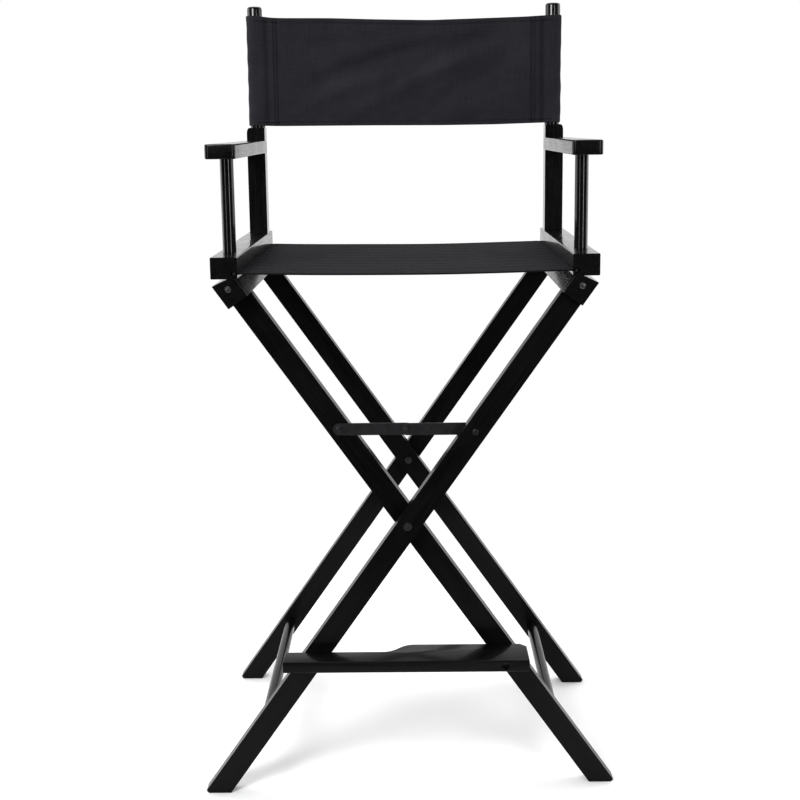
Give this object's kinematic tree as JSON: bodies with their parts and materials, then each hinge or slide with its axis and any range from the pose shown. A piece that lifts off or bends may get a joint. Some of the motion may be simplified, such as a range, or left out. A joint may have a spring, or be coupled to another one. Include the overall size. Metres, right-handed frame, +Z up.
{
  "type": "director chair",
  "caption": "Tall folding director chair: crossed wooden leg frames, seat rails with armrests, canvas seat and back, a flat locking stay and a folding footrest plank.",
  "frame": {"origin": "on the floor, under the middle of the open chair", "axes": "+Z up, the chair faces -Y, +X is to the right seen from the front"},
  "size_m": [0.6074, 0.4564, 1.168],
  "materials": {
    "black_lacquer": "satin black lacquer over a fine straight grain",
    "canvas": "matt charcoal-black canvas with stitched rows",
    "dark_steel": "dark blackened steel",
    "bright_steel": "zinc-plated steel"
  },
  "bodies": {
    "outer_frame": {"footrest_peg": "dark_steel", "front_cross_bolt": "dark_steel", "front_cross_nut": "dark_steel", "front_cross_spacer": "dark_steel", "outer_front_leg": "black_lacquer", "outer_rear_leg": "black_lacquer", "outer_stretcher": "black_lacquer", "outer_top_bar": "black_lacquer", "rear_cross_bolt": "dark_steel", "rear_cross_nut": "dark_steel", "rear_cross_spacer": "dark_steel", "right_front_hinge_pin": "bright_steel", "right_rear_hinge_pin": "bright_steel", "stay_right_rivet": "dark_steel"},
    "inner_frame": {"footrest_bolt": "dark_steel", "footrest_nut": "dark_steel", "inner_front_leg": "black_lacquer", "inner_rear_leg": "black_lacquer", "inner_stretcher": "black_lacquer", "inner_top_bar": "black_lacquer", "left_front_hinge_pin": "bright_steel", "left_rear_hinge_pin": "bright_steel", "stay_left_rivet": "dark_steel"},
    "right_side": {"right_arm_screw": "dark_steel", "right_armrest": "black_lacquer", "right_back_post": "black_lacquer", "right_front_hinge_eye": "bright_steel", "right_front_post": "black_lacquer", "right_rear_hinge_eye": "bright_steel", "right_seat_rail": "black_lacquer", "right_seat_rod": "dark_steel", "seat_canvas": "canvas", "back_canvas": "canvas"},
    "left_side": {"left_arm_screw": "dark_steel", "left_armrest": "black_lacquer", "left_back_post": "black_lacquer", "left_front_hinge_eye": "bright_steel", "left_front_post": "black_lacquer", "left_rear_hinge_eye": "bright_steel", "left_seat_rail": "black_lacquer", "left_seat_rod": "dark_steel"},
    "stay_right": {"stay_right_half": "dark_steel", "stay_centre_rivet_front": "dark_steel"},
    "stay_left": {"stay_left_half": "dark_steel", "stay_centre_rivet_rear": "dark_steel"},
    "footrest": {"footrest_plank": "black_lacquer"}
  },
  "joints": [
    {"name": "fold", "type": "hinge", "parent": "outer_frame", "child": "inner_frame", "pos_m": [0, 0, 0.41], "axis": [0, 1, 0], "range_deg": [0, 52]},
    {"name": "right_side_hinge", "type": "hinge", "parent": "outer_frame", "child": "right_side", "pos_m": [0.24297, 0, 0.757], "axis": [0, 1, 0], "range_deg": [0, 26], "deforming": ["seat_canvas", "back_canvas"]},
    {"name": "left_side_hinge", "type": "hinge", "parent": "inner_frame", "child": "left_side", "pos_m": [-0.24297, 0, 0.757], "axis": [0, 1, 0], "range_deg": [-26, 0]},
    {"name": "stay_right_hinge", "type": "hinge", "parent": "outer_frame", "child": "stay_right", "pos_m": [0.097, 0, 0.54853], "axis": [0, 1, 0], "range_deg": [0, 100.2]},
    {"name": "stay_left_hinge", "type": "hinge", "parent": "inner_frame", "child": "stay_left", "pos_m": [-0.097, 0, 0.54853], "axis": [0, 1, 0], "range_deg": [-100.2, 0]},
    {"name": "footrest_swing", "type": "hinge", "parent": "inner_frame", "child": "footrest", "pos_m": [0.13794, 0, 0.213], "axis": [0, 1, 0], "range_deg": [0, 88.4]}
  ],
  "couplings": [
    {"joint": "right_side_hinge", "follows": "fold", "ratio": 0.5},
    {"joint": "left_side_hinge", "follows": "fold", "ratio": -0.5},
    {"joint": "stay_right_hinge", "follows": "fold", "ratio": 1.9264},
    {"joint": "stay_left_hinge", "follows": "fold", "ratio": -1.9264},
    {"joint": "footrest_swing", "follows": "fold", "ratio": 1.7}
  ]
}
